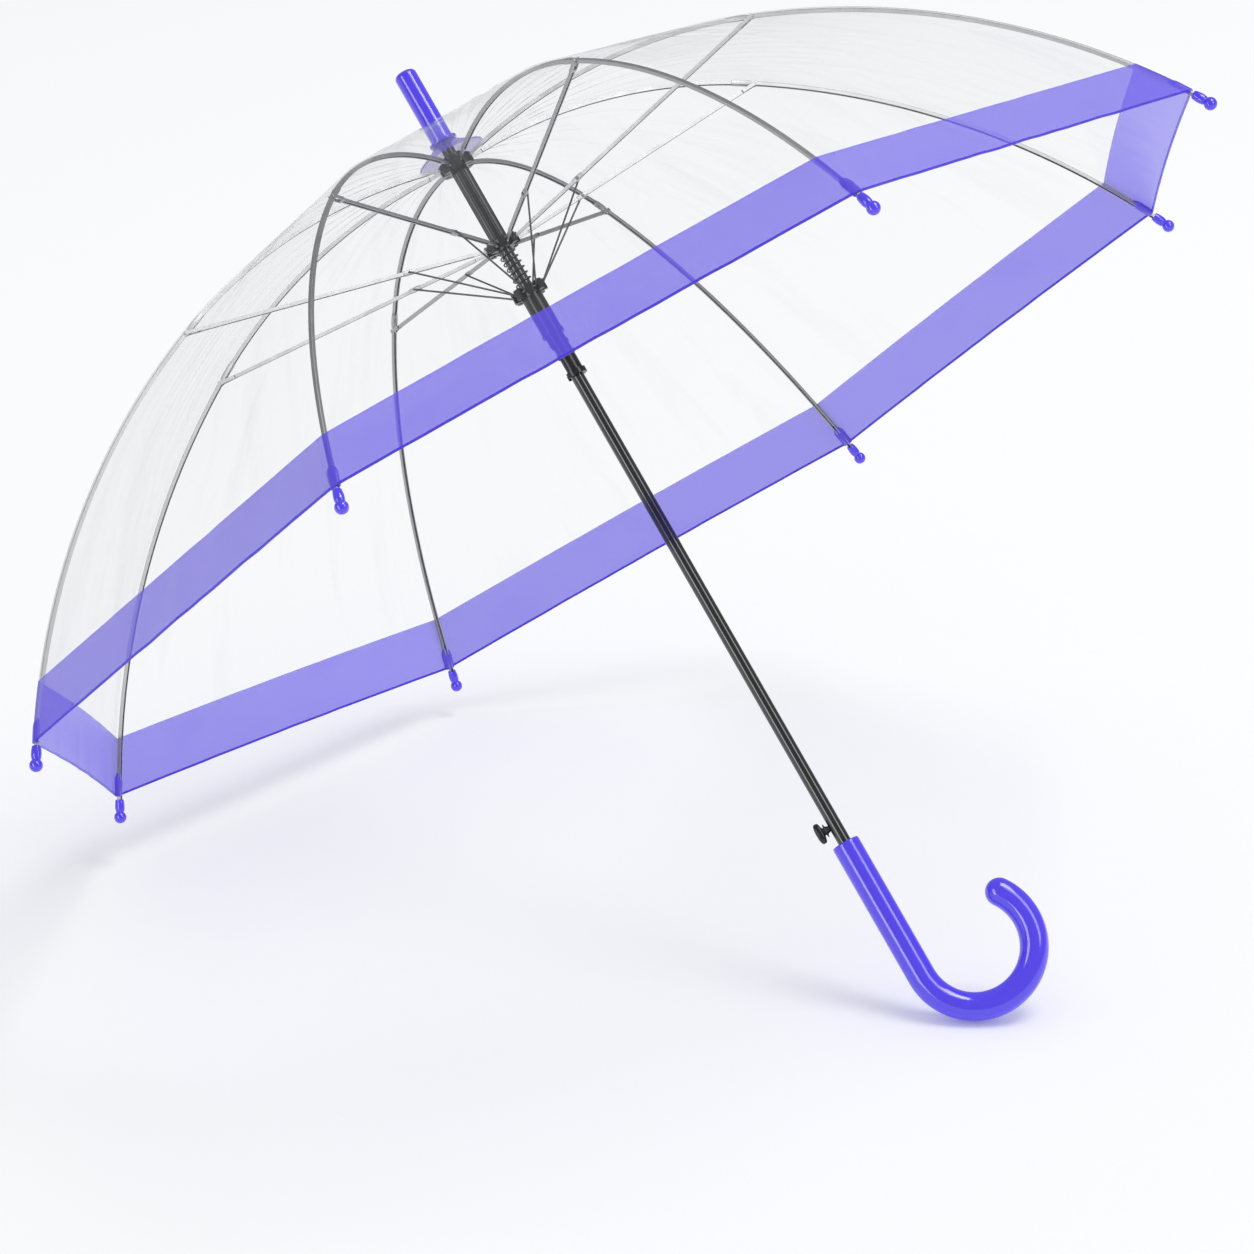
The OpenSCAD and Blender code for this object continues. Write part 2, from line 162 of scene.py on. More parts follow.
def finish_material(
    name, dark, light, rough, scale, bump, metallic=0.0, coat=0.0, stretch=(1, 1, 1)
):
    """A solid finish: colour between dark and light, roughness between two values and a fine
    bump, all from the shared variation group, drawn out along an axis by stretch."""
    material = bpy.data.materials.new(name)
    material.use_nodes = True
    nodes, links = material.node_tree.nodes, material.node_tree.links
    shader = nodes["Principled BSDF"]
    place, draw = nodes.new("ShaderNodeTexCoord"), nodes.new("ShaderNodeMapping")
    draw.inputs["Scale"].default_value = stretch
    noise, colour, relief = (
        nodes.new("ShaderNodeGroup"),
        nodes.new("ShaderNodeMix"),
        nodes.new("ShaderNodeBump"),
    )
    noise.node_tree = variation
    noise.inputs["Scale"].default_value = scale
    noise.inputs["Low"].default_value, noise.inputs["High"].default_value = rough
    colour.data_type = "RGBA"
    colour.inputs[6].default_value, colour.inputs[7].default_value = (*dark, 1), (*light, 1)
    relief.inputs["Strength"].default_value = 1.0
    relief.inputs["Distance"].default_value = bump
    links.new(place.outputs["Object"], draw.inputs["Vector"])
    links.new(draw.outputs["Vector"], noise.inputs["Vector"])
    links.new(noise.outputs["Mask"], colour.inputs[0])
    links.new(colour.outputs[2], shader.inputs["Base Color"])
    links.new(noise.outputs["Roughness"], shader.inputs["Roughness"])
    links.new(noise.outputs["Height"], relief.inputs["Height"])
    links.new(relief.outputs["Normal"], shader.inputs["Normal"])
    shader.inputs["Metallic"].default_value = metallic
    shader.inputs["Coat Weight"].default_value = coat
    shader.inputs["Coat Roughness"].default_value = 0.04
    return material


def fit(piece, body, material, slot, *nodes):
    """Gives a new piece its finish, and lets it ride and stand for its CAD nodes."""
    piece.data.materials.append(material)
    if nodes:
        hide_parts(*nodes)
    if body:
        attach(piece, body)
    return piece


# ---- Shaft -------------------------------------------------------------------------------
# A straight drawn steel tube, painted gloss black. It runs from inside the handle to inside
# the ferrule, and everything else is strung on it.

black_paint = finish_material(
    "black_paint",
    (0.004, 0.004, 0.005),
    (0.012, 0.012, 0.014),
    (0.1, 0.22),
    60,
    0.00001,
    coat=1.0,
    stretch=(1, 1, 0.05),
)
shaft_low, shaft_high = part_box("shaft")
shaft_r = shaft_high.x
shaft_profile = [(shaft_r, z) for z in np.linspace(shaft_low.z, shaft_high.z, 24)]
shaft_tube = skin("shaft_tube", lathe(shaft_profile, 48))
fit(shaft_tube, "root", black_paint, "black_paint", "shaft")


# ---- Handle ------------------------------------------------------------------------------
# One injection-moulded J of solid violet plastic, pressed on the shaft. Its top edge is
# slightly rounded, and the hook turns on past a half circle to a round end.

violet_plastic = finish_material(
    "violet_plastic", (0.09, 0.052, 0.92), (0.105, 0.06, 0.98), (0.11, 0.17), 14, 0.000002, coat=0.8
)
handle_low, handle_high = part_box("grip")
handle_r = handle_high.y
handle_top = handle_high.z
hook_r = (handle_high.x - handle_r) / 2
hook_turn = math.radians(215)
hook_centre_z = handle_low.z + handle_r + hook_r
edge_round = 0.0015


def handle_path(distance):
    """Centre line of the handle and its two cross directions: straight down, then round the
    hook at a constant radius, then straight on for the length of the rounded end."""
    straight = handle_top - hook_centre_z
    turn = np.clip((distance - straight) / hook_r, 0, hook_turn)
    beyond = np.clip(distance - straight - hook_r * hook_turn, 0, None)
    down = np.minimum(distance, straight)
    x = hook_r - hook_r * np.cos(turn) + beyond * np.sin(turn)
    z = handle_top - down - hook_r * np.sin(turn) - beyond * np.cos(turn)
    centre = np.stack([x, np.zeros_like(x), z], 1)
    across = np.stack([np.cos(turn), np.zeros_like(x), np.sin(turn)], 1)
    return centre, across


def handle_rings(sides=64):
    """Circles across the path. Their radius grows round the top edge and falls as a half
    sphere over the end."""
    straight = handle_top - hook_centre_z
    length = straight + hook_r * hook_turn
    top = edge_round * (1 - np.cos(np.linspace(0, np.pi / 2, 8)))
    end = length + handle_r * np.sin(np.linspace(0, 0.497 * np.pi, 20))
    distance = np.concatenate([top, np.linspace(edge_round, length, 150)[1:-1], end])
    rim = np.clip(edge_round - distance, 0, None)
    tail = np.clip(distance - length, 0, None)
    radius = np.sqrt(handle_r**2 - tail**2) - edge_round + np.sqrt(edge_round**2 - rim**2)
    centre, across = handle_path(distance)
    turn = np.linspace(0, 2 * np.pi, sides, endpoint=False)
    side = np.array([0.0, 1.0, 0.0])
    circle = np.cos(turn)[None, :, None] * across[:, None, :] + np.sin(turn)[None, :, None] * side
    return centre[:, None, :] + radius[:, None, None] * circle


handle = skin("handle", handle_rings())
fit(handle, "root", violet_plastic, "violet_plastic", "grip")


# ---- Crown, its wire, the stop sleeve and the runners ------------------------------------
# The crown is a notched disc of black nylon that holds the rib eyes on a ring of wire. The
# sleeve below it is pushed on the shaft and stops the upper runner. Both runners slide on
# the shaft, and keep their CAD shape.

black_plastic = finish_material(
    "black_plastic", (0.006, 0.006, 0.007), (0.018, 0.018, 0.02), (0.16, 0.3), 160, 0.00002
)
spring_steel = finish_material(
    "spring_steel",
    (0.045, 0.045, 0.05),
    (0.13, 0.13, 0.135),
    (0.2, 0.36),
    140,
    0.00001,
    metallic=0.9,
)


def dress(node, material):
    """Gives a CAD part its finish."""
    part = frame["nodes"][node]
    part.data.materials.clear()
    part.data.materials.append(material)


dress("crown", black_plastic)
dress("crown_wire", spring_steel)
sleeve_low, sleeve_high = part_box("stop_sleeve")
flute_depth = 0.00035
sleeve_round = 0.0006


def fluted_sleeve(flutes=12, sides=144):
    """A tube with flutes along it: the radius dips with the square of a cosine of the angle.
    The flutes fade out at both ends, where the rim is rounded, and the bore is the shaft."""
    t = np.linspace(0, 1, 40)
    z = sleeve_low.z + (sleeve_high.z - sleeve_low.z) * t
    ends = np.clip(np.minimum(t, 1 - t) / 0.03, 0, 1)
    turn = np.linspace(0, 2 * np.pi, sides, endpoint=False)
    dip = flute_depth * np.outer(np.clip(ends - 0.5, 0, 1) * 2, np.cos(flutes / 2 * turn) ** 2)
    radius = sleeve_high.x - sleeve_round * (1 - np.sqrt(1 - (1 - ends) ** 2))[:, None] - dip
    outer = np.stack([radius * np.cos(turn), radius * np.sin(turn), z[:, None] + 0 * radius], 2)
    inner = lathe([(shaft_r, z[-1]), (shaft_r, z[0])], sides)
    return np.concatenate([outer, inner])


sleeve = skin("fluted_sleeve", fluted_sleeve(), wrap_rows=True, caps=False)
fit(sleeve, "root", black_plastic, "black_plastic", "stop_sleeve")
dress("upper_runner", black_plastic)
dress("lower_runner", black_plastic)


# ---- Ferrule and skirt -------------------------------------------------------------------
# The ferrule is a violet cap with a thin flange, pressed on the shaft's top end. It holds a
# soft translucent skirt down over the hole in the middle of the canopy.

ferrule_low, ferrule_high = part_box("ferrule")
flange_r = ferrule_high.x
ferrule_r = flange_r - 0.0025
flange_t = 0.002
dome = 0.004
flange_round = 0.0005
foot_fillet = 0.0006
ferrule_profile = np.concatenate(
    [
        [[shaft_r, ferrule_low.z]],
        fillet(flange_r - flange_round, ferrule_low.z + flange_round, flange_round, -90, 0),
        fillet(
            flange_r - flange_round,
            ferrule_low.z + flange_t - flange_round,
            flange_round,
            0,
            90,
        ),
        fillet(
            ferrule_r + foot_fillet,
            ferrule_low.z + flange_t + foot_fillet,
            foot_fillet,
            270,
            180,
        ),
        fillet(ferrule_r - dome, ferrule_high.z - dome, dome, 0, 90, 16),
        [[0.0008, ferrule_high.z + 0.0001]],
    ]
)
ferrule_cap = skin("ferrule_cap", lathe(ferrule_profile))
fit(ferrule_cap, "root", violet_plastic, "violet_plastic", "ferrule")


def film_material(name, tint, edge_tint, clear, edge, haze_and_highlight, rough, scale, detail=2.0):
    """Thin film, seen through: its cover is low where it faces the eye, rises in streaky bands
    along the film that are painted highlight, partly haze in the film, and rises towards its
    silhouette, where it takes the edge tint."""
    material = bpy.data.materials.new(name)
    material.use_nodes = True
    nodes, links = material.node_tree.nodes, material.node_tree.links
    shader = nodes["Principled BSDF"]
    place, draw = nodes.new("ShaderNodeTexCoord"), nodes.new("ShaderNodeMapping")
    haze_and_highlight_streaks, wrinkles = nodes.new("ShaderNodeTexNoise"), nodes.new("ShaderNodeTexNoise")
    mask, slope = nodes.new("ShaderNodeMapRange"), nodes.new("ShaderNodeLayerWeight")
    power, gain, cover = (nodes.new("ShaderNodeMath") for _ in range(3))
    colour, relief = nodes.new("ShaderNodeMix"), nodes.new("ShaderNodeBump")
    draw.inputs["Scale"].default_value = scale
    haze_and_highlight_streaks.inputs["Scale"].default_value, haze_and_highlight_streaks.inputs["Detail"].default_value = 1.0, detail
    haze_and_highlight_streaks.inputs["Distortion"].default_value = 0.4
    wrinkles.inputs["Scale"].default_value, wrinkles.inputs["Detail"].default_value = 2.6, 3.0
    # This range lifts the cover in streaky noise bands: painted highlight, partly haze in the film.
    mask.inputs["From Min"].default_value, mask.inputs["From Max"].default_value = 0.52, 0.78
    mask.inputs["To Min"].default_value, mask.inputs["To Max"].default_value = clear, clear + haze_and_highlight
    slope.inputs["Blend"].default_value = 0.5
    power.operation, power.inputs[1].default_value = "POWER", 8.0
    gain.operation, gain.inputs[1].default_value = "MULTIPLY", edge
    cover.operation, cover.use_clamp = "ADD", True
    colour.data_type = "RGBA"
    colour.inputs[6].default_value, colour.inputs[7].default_value = (*tint, 1), (*edge_tint, 1)
    relief.inputs["Strength"].default_value, relief.inputs["Distance"].default_value = 0.5, 0.0003
    links.new(place.outputs["UV"], draw.inputs["Vector"])
    links.new(draw.outputs["Vector"], haze_and_highlight_streaks.inputs["Vector"])
    links.new(draw.outputs["Vector"], wrinkles.inputs["Vector"])
    links.new(haze_and_highlight_streaks.outputs["Fac"], mask.inputs["Value"])
    links.new(slope.outputs["Facing"], power.inputs[0])
    links.new(power.outputs[0], gain.inputs[0])
    links.new(mask.outputs["Result"], cover.inputs[0])
    links.new(gain.outputs[0], cover.inputs[1])
    links.new(power.outputs[0], colour.inputs[0])
    links.new(colour.outputs[2], shader.inputs["Base Color"])
    links.new(cover.outputs[0], shader.inputs["Alpha"])
    links.new(wrinkles.outputs["Fac"], relief.inputs["Height"])
    links.new(relief.outputs["Normal"], shader.inputs["Normal"])
    shader.inputs["Roughness"].default_value = rough
    return material


# The streaky bands in the cover of the violet and skirt films are painted highlight, partly haze in
# the film.
violet_film = film_material(
    "violet_film", (0.15, 0.1, 0.93), (0.1, 0.06, 0.86), 0.78, 0.2, 0.03, 0.25, (6, 20, 1)
)
skirt_film = film_material(
    "skirt_film", (0.2, 0.15, 0.8), (0.14, 0.1, 0.76), 0.34, 0.3, 0.06, 0.2, (6, 20, 1)
)
skirt_low, skirt_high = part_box("ferrule_skirt")
skirt_r = skirt_high.x
skirt_t = 0.0007


def skirt_rings(sides=96):
    """A turned skirt with a soft wave in its edge: height falls with radius as a bell, and the
    rim waves three times as often as there are ribs. The underside is one thickness below."""
    t = np.linspace(0, 1, 24)
    radius = shaft_r + (skirt_r - shaft_r) * t
    fall = (skirt_high.z - skirt_low.z - skirt_t) * np.clip((t - 0.18) / 0.82, 0, 1) ** 0.8
    turn = np.linspace(0, 2 * np.pi, sides, endpoint=False)
    wave = 0.0006 * np.outer(t**3, np.cos(24 * turn))
    top = skirt_high.z - fall[:, None] + wave
    upper = np.stack([np.outer(radius, np.cos(turn)), np.outer(radius, np.sin(turn)), top], 2)
    lower = upper[::-1] - np.array([0, 0, skirt_t])
    return np.concatenate([upper, lower])


skirt = skin("ferrule_skirt_film", skirt_rings(), wrap_rows=True, caps=False)
fit(skirt, "root", skirt_film, "violet_film", "ferrule_skirt")


# ---- Opening spring ----------------------------------------------------------------------
# A coil of spring wire between the two runners. It rides on the upper runner.

coil_low, coil_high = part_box("coil_spring")
coil_wire_r = 0.0006
coil_r = coil_high.x - coil_wire_r
coil_turns = 6.5


def coil_rings(steps=260, sides=10):
    """Circles of the wire's radius carried along a helix of constant pitch."""
    t = np.linspace(0, 1, steps)
    turn = 2 * np.pi * coil_turns * t
    z = coil_low.z + coil_wire_r + (coil_high.z - coil_low.z - 2 * coil_wire_r) * t
    out = np.stack([np.cos(turn), np.sin(turn), np.zeros(steps)], 1)
    centre = coil_r * out + np.stack([np.zeros(steps), np.zeros(steps), z], 1)
    side = np.linspace(0, 2 * np.pi, sides, endpoint=False)
    up = np.array([0.0, 0.0, 1.0])
    ring = np.cos(side)[None, :, None] * out[:, None, :] + np.sin(side)[None, :, None] * up
    return centre[:, None, :] + coil_wire_r * ring


coil = skin("opening_spring", coil_rings())
fit(coil, "upper_runner", spring_steel, "spring_steel", "coil_spring")
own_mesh(coil)


# ---- Button and latch spring -------------------------------------------------------------
# A black oval knob on a short stem that goes through the shaft's window, with a bent leaf
# inside the shaft that pushes it out.

button_low, button_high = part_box("button")
button_stem_r = 0.0022
button_z = (button_low.z + button_high.z) / 2
button_tall = (button_high.z - button_low.z) / 2
button_wide = (button_high.y - button_low.y) / 2


def button_rings(sides=48):
    """Ovals across the X axis: a slim stem, a small collar on the shaft and a round-edged knob
    whose face is slightly domed. Each row is [share of the knob's size, distance from the
    shaft's axis]; near the stem the oval turns into a circle."""
    out = -button_low.x
    profile = np.array(
        [
            [0.3, -button_high.x], [0.3, 0.0073], [0.66, 0.0075], [0.7, 0.0079], [0.66, 0.0083],
            [0.32, 0.0087], [0.34, 0.0094], [0.55, 0.0099], [0.82, 0.0103], [0.96, 0.011],
            [1.0, 0.0122], [1.0, 0.0135], [0.94, out - 0.0013], [0.8, out - 0.0006],
            [0.55, out - 0.0002], [0.3, out], [0.01, out],
        ]
    )
    turn = np.linspace(0, 2 * np.pi, sides, endpoint=False)
    share, x = profile.T
    tall = share * button_tall
    wide = np.maximum(share * button_wide, np.minimum(tall, button_stem_r))
    y, z = np.outer(wide, np.sin(turn)), button_z + np.outer(tall, np.cos(turn))
    return np.stack([np.broadcast_to(-x[:, None], y.shape), y, z], 2)


knob = skin("button_knob", button_rings())
knob_smooth = knob.modifiers.new("smooth", "SUBSURF")
knob_smooth.levels = knob_smooth.render_levels = 1
fit(knob, "button", black_plastic, "black_plastic", "button")
dress("latch_spring", spring_steel)


# ---- Ribs, stretchers and spring wires ---------------------------------------------------
# Ribs and stretchers are rolled channels of dark plated steel, the wires are bent from spring wire.
# The inner ribs and stretchers stay as designed. An outer rib is one piece of springy steel
# channel, drawn in place from just past its joint to inside the rib tip.

rib_steel = finish_material(
    "rib_steel", (0.38, 0.38, 0.39), (0.48, 0.48, 0.49), (0.38, 0.52), 60, 0.000004, metallic=1.0
)
ribs = range(1, 9)
joints = {j["name"]: j for j in frame["joints"]}


def in_rib_plane(point):
    """Distance from the shaft's axis and height of a point."""
    return np.array([math.hypot(point[0], point[1]), point[2]])


tip_ball_r = 0.00475
tip_low, tip_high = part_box("rib_tip_1")
half_gore = math.pi / 8
crown_pt = in_rib_plane(joints["rib_fold_1"]["pos_m"])
joint_pt = in_rib_plane(joints["rib_flex_1"]["pos_m"])
tip_pt = np.array([(tip_high.x - tip_ball_r) / math.cos(half_gore), tip_low.z + tip_ball_r])
joint_slope = math.radians(26)


def chord_slope(a, b):
    """How steeply the straight line from a to b falls, in a rib's plane."""
    return math.atan2(a[1] - b[1], b[0] - a[0])


def up_normal(slope):
    """Upward direction square to a line that falls at this slope, in a rib's plane."""
    return np.stack([np.sin(slope), np.cos(slope)], -1)


crown_slope = 2 * chord_slope(crown_pt, joint_pt) - joint_slope
tip_slope = 2 * chord_slope(joint_pt, tip_pt) - joint_slope
inner_r = np.linalg.norm(joint_pt - crown_pt) / (2 * math.sin((joint_slope - crown_slope) / 2))
outer_r = np.linalg.norm(tip_pt - joint_pt) / (2 * math.sin((tip_slope - joint_slope) / 2))
inner_len = inner_r * (joint_slope - crown_slope)
outer_len = outer_r * (tip_slope - joint_slope)


def rib_line(s):
    """Centre line of a rib at distance s from the crown, as points and slopes in its plane:
    two arcs with one slope where they meet, at the stretcher joint."""
    s = np.asarray(s, float)
    inner = s < inner_len
    radius = np.where(inner, inner_r, outer_r)
    slope = joint_slope + (s - inner_len) / radius
    centre = joint_pt - radius[..., None] * up_normal(joint_slope)
    return centre + radius[..., None] * up_normal(slope), slope


def rib_axes(k):
    """Outward and sideways directions of rib k, seen from above."""
    angle = half_gore * (2 * k - 1)
    outward = np.array([math.cos(angle), math.sin(angle), 0])
    sideways = np.array([-math.sin(angle), math.cos(angle), 0])
    return outward, sideways


def placed(k, points, across):
    """Puts points of a rib's plane, moved sideways by across, at rib k."""
    out, side = rib_axes(k)
    up = np.array([0, 0, 1])
    return points[..., :1] * out + points[..., 1:] * up + np.asarray(across)[..., None] * side


channel_w = 0.003
channel_h = 0.003
channel_t = 0.0006
channel_round = 0.0004
rib_start_gap = 0.0006
rib_end_gap = 0.003


def channel_section():
    """Rolled channel, open below, as [up, sideways] points with its two upper corners cut."""
    w, h, t, c = channel_w / 2, channel_h / 2, channel_t, channel_round
    half = [(-h, w), (h - c, w), (h, w - c)]
    inside = [(h - t, w - t), (-h, w - t)]
    return np.array(
        half + [(u, -v) for u, v in half[::-1]] + [(u, -v) for u, v in inside[::-1]] + inside
    )


def outer_rib(k, steps=90):
    """The channel carried from just past the stretcher joint to inside the rib tip."""
    section = channel_section()
    s = np.linspace(inner_len + rib_start_gap, inner_len + outer_len - rib_end_gap, steps)
    line, slope = rib_line(s)
    points = line[:, None, :] + section[None, :, :1] * up_normal(slope)[:, None, :]
    across = np.broadcast_to(section[:, 1], points.shape[:2])
    return skin(f"outer_rib_{k}", placed(k, points, across))


clip_wall = 0.0005
stretcher_size = 0.0026
stretcher_joint = in_rib_plane(joints["stretcher_fold_1"]["pos_m"])
wire_joint = in_rib_plane(joints["wire_fold_1"]["pos_m"])


def clip_rings(k, points, normals, along, width, height, rise):
    """A folded sheet clip: a rounded box section carried along a line. Its first and last
    rings are drawn in a little, so that the sheet's edges look rolled."""
    turn = np.linspace(0, 2 * np.pi, 24, endpoint=False)
    wide = np.sign(np.sin(turn)) * np.abs(np.sin(turn)) ** 0.35
    tall = np.sign(np.cos(turn)) * np.abs(np.cos(turn)) ** 0.35
    size = np.array([0.86, 1.0, 1.0, 1.0, 0.86])
    push = np.array([-0.0003, 0, 0, 0, 0.0003])
    lift = rise + height / 2 * size[:, None] * tall
    pushed = points[:, None] + push[:, None, None] * along[:, None]
    at = pushed + lift[..., None] * normals[:, None]
    return placed(k, at, width / 2 * size[:, None] * wide)


def joint_clips(k):
    """Clip on the rib beside its joint, and clip on the stretcher where the wire hooks in."""
    line, slope = rib_line(np.linspace(inner_len - 0.019, inner_len - 0.0035, 5))
    along = np.stack([np.cos(slope), -np.sin(slope)], 1)
    width, height = channel_w + 2 * clip_wall, channel_h + 2 * clip_wall
    rib_clip = clip_rings(k, line, up_normal(slope), along, width, height, -0.0001)
    way = (wire_joint - stretcher_joint) / np.linalg.norm(wire_joint - stretcher_joint)
    points = wire_joint + np.linspace(-0.0045, 0.0045, 5)[:, None] * way
    normals = np.tile([-way[1], way[0]], (5, 1))
    box = stretcher_size + 2 * clip_wall
    wire_clip = clip_rings(k, points, normals, np.tile(way, (5, 1)), box, box, 0.0)
    return rib_clip, wire_clip


for k in ribs:
    rib_clip, wire_clip = joint_clips(k)
    fit(skin(f"rib_clip_{k}", rib_clip), f"rib_inner_{k}", rib_steel, "rib_steel")
    fit(skin(f"wire_clip_{k}", wire_clip), f"stretcher_{k}", rib_steel, "rib_steel")
    dress(f"rib_inner_{k}", rib_steel)
    dress(f"stretcher_{k}", rib_steel)
    dress(f"spring_wire_{k}", spring_steel)
    rib = fit(outer_rib(k), None, rib_steel, "rib_steel", f"rib_outer_{k}")
    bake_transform(rib)


# ---- Rib tips ----------------------------------------------------------------------------
# Small violet caps pushed on the rib ends: a ball on a slim barrel with a lip at its mouth.

neck_r = 0.0028
belly_r = 0.0037
mouth_r = 0.0031
barrel_len = 0.009
lip_round = 0.0003


def tip_rings(k, sides=40):
    """A turned part along the rib's end: a ball, then a barrel whose radius swells from the
    neck as a sine and ends in a rounded mouth. Rings stand across the rib's slope at its end."""
    ball = fillet(0, 0, tip_ball_r, -88, math.degrees(math.acos(neck_r / tip_ball_r)), 22)
    mouth = tip_ball_r + barrel_len
    t = np.linspace(0.03, 1, 24)
    swell = neck_r + (belly_r - neck_r) * np.sin(np.pi * t**0.8) ** 0.8 + (mouth_r - neck_r) * t**3
    barrel = np.stack([swell, ball[-1, 1] + (mouth - lip_round - ball[-1, 1]) * t], 1)
    lip = fillet(mouth_r - lip_round, mouth - lip_round, lip_round, 0, 90, 4)
    profile = np.concatenate([ball, barrel, lip, [[0.0018, mouth - 0.0002]]])
    turn = np.linspace(0, 2 * np.pi, sides, endpoint=False)
    radius, back = profile.T
    normal, along = up_normal(tip_slope), np.array([math.cos(tip_slope), -math.sin(tip_slope)])
    lift, across = np.outer(radius, np.cos(turn)), np.outer(radius, np.sin(turn))
    points = tip_pt - back[:, None, None] * along + lift[..., None] * normal
    return placed(k, points, across)


for k in ribs:
    cap = skin(f"tip_{k}", tip_rings(k))
    fit(cap, f"rib_outer_{k}", violet_plastic, "violet_plastic", f"rib_tip_{k}")


# ---- Canopy film -------------------------------------------------------------------------
# Eight gores of clear PVC film, welded along the ribs into one dome. The film hangs straight
# between ribs with a slight hollow, and it puckers round the crown and over each joint. It is
# made in strips round each rib, out to mid-gore, so that it can fold with the ribs.

film_lift = 0.0026
film_hollow = 0.004
scallop = 0.002
film_start = 0.006
bare_end = 0.0025
band_w = 0.042
hem_s = inner_len + outer_len - tip_ball_r - barrel_len - bare_end


def hollow_at(share):
    """Rises from 0 at a rib to 1 at mid-gore, as a parabola that is level there."""
    return 1 - (1 - np.abs(share)) ** 2


def film_surface(s, share, angle, lift=film_lift):
    """Film at distance s along a rib and at a share from -1 to 1 of the half gore beside it.
    It follows the chord between two ribs, sinks by a parabola towards mid-gore, and carries
    pleats whose number round the whole canopy is whole, so that neighbours meet."""
    hollow = hollow_at(share)
    line, slope = rib_line(s)
    sag = film_hollow * 2 * line[..., 0] * math.sin(half_gore) * hollow
    turn = angle + half_gore * share
    pleat = np.cos(40 * turn) + 0.7 * np.cos(64 * turn + 9 * s / 0.1) + 0.5 * np.cos(104 * turn)
    near_crown = 0.0012 * np.exp(-s / 0.12) * (1 - np.exp(-((s / 0.045) ** 2)))
    near_hem = 0.0002 * np.exp(-(hem_s - s) / 0.06) * hollow
    beside_rib = 1 - np.exp(-((share / 0.22) ** 2))
    from_joint = (s - inner_len) / 0.05
    pucker = 0.0008 * np.exp(-(from_joint**2)) * np.abs(share) * np.cos(14 * np.pi * share)
    height = lift - sag + (near_crown * beside_rib + near_hem) * pleat + pucker
    point = line + height[..., None] * up_normal(slope)
    reach = point[..., 0] * math.cos(half_gore) / np.cos(half_gore * (1 - np.abs(share)))
    spread = half_gore * share
    return np.stack([reach * np.cos(spread), point[..., 1]], -1), reach * np.sin(spread)


def film_piece(name, k, s_from, s_to, rows, cols=48, lift=film_lift):
    """A strip of film round rib k between two distances from the crown, each of which may
    change from the rib to mid-gore. Its UV is the angle round the canopy and the distance
    along the rib. Gives the piece, its flat width and length, and its area."""
    share = np.linspace(-1, 1, cols + 1)
    hollow = hollow_at(share)
    t = np.linspace(0, 1, rows + 1)[:, None]
    s = s_from(hollow)[None, :] * (1 - t) + s_to(hollow)[None, :] * t
    share = np.broadcast_to(share, s.shape)
    angle = half_gore * (2 * k - 1)
    points, across = film_surface(s, share, angle, lift)
    laid = placed(k, points, across)
    uv = np.stack([angle + half_gore * share, s], -1)
    piece = skin(name, laid, wrap_cols=False, caps=False, uv=uv)
    width = np.linalg.norm(np.diff(laid, axis=1), axis=2).sum(1).max()
    length = np.linalg.norm(np.diff(laid, axis=0), axis=2).sum(0).max()
    return piece, (float(width), float(length)), sum(p.area for p in piece.data.polygons)


def fold_film(piece, body):
    """Film rides on its rib's body, with a mesh of its own."""
    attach(piece, body)
    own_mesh(piece)


# The streaky bands in the clear film's cover are painted highlight, partly haze in the film.
clear_film = film_material(
    "clear_film", (0.6, 0.61, 0.63), (0.34, 0.35, 0.37), 0.055, 0.6, 0.1, 0.1, (14, 5, 1), 3.0
)


def crown_line(hollow):
    """Distance from the crown at which the film starts."""
    return film_start + 0 * hollow


def joint_line(hollow):
    """Distance from the crown of the seam over the stretcher joints."""
    return inner_len + 0 * hollow


def hem_line(hollow):
    """Distance from the crown of the film's lower edge, which is scalloped."""
    return hem_s - scallop * hollow


def band_line(hollow):
    """Distance from the crown at which the clear film ends and the band starts."""
    return hem_line(hollow) - band_w


for k in ribs:
    parts = (
        ("inner_film", f"rib_inner_{k}", crown_line, joint_line, 30),
        ("outer_film", f"rib_outer_{k}", joint_line, band_line, 40),
    )
    for name, body, s_from, s_to, rows in parts:
        film, flat, area = film_piece(f"{name}_{k}", k, s_from, s_to, rows)
        film.data.materials.append(clear_film)
        fold_film(film, body)
        if name == "outer_film":
            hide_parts(f"canopy_panel_{k}")


# ---- Band, hem and pockets ---------------------------------------------------------------
# A strip of translucent violet film is welded round the edge, and its lower edge is turned
# in as a darker hem. A short pocket of the same film holds each rib's end.

# The streaky bands in the hem's cover are painted highlight, partly haze in the film.
hem_film = film_material(
    "hem_film", (0.08, 0.045, 0.82), (0.07, 0.04, 0.75), 0.86, 0.1, 0.08, 0.25, (10, 40, 1)
)
hem_r = 0.0009
pocket_len = 0.02
pocket_w = 0.0044
pocket_h = 0.0027
band_overlap = 0.002
band_lift = film_lift + 0.0002


def weld_line(hollow):
    """Distance from the crown of the band's upper edge, which overlaps the clear film."""
    return band_line(hollow) - band_overlap


def hem_rings(k, steps=60, sides=8):
    """The rolled edge: circles carried along the lower edge of the band."""
    share = np.linspace(-1, 1, steps)
    s = hem_line(hollow_at(share))
    points, across = film_surface(s, share, half_gore * (2 * k - 1))
    side = np.linspace(0, 2 * np.pi, sides, endpoint=False)
    _, slope = rib_line(s)
    normal = up_normal(slope)
    along = np.stack([np.cos(slope), -np.sin(slope)], -1)
    rise, reach = np.cos(side)[None, :, None], np.sin(side)[None, :, None]
    ring = rise * normal[:, None] + reach * along[:, None]
    ring_points = points[:, None] + hem_r * ring
    return placed(k, ring_points, np.broadcast_to(across[:, None], ring_points.shape[:2]))


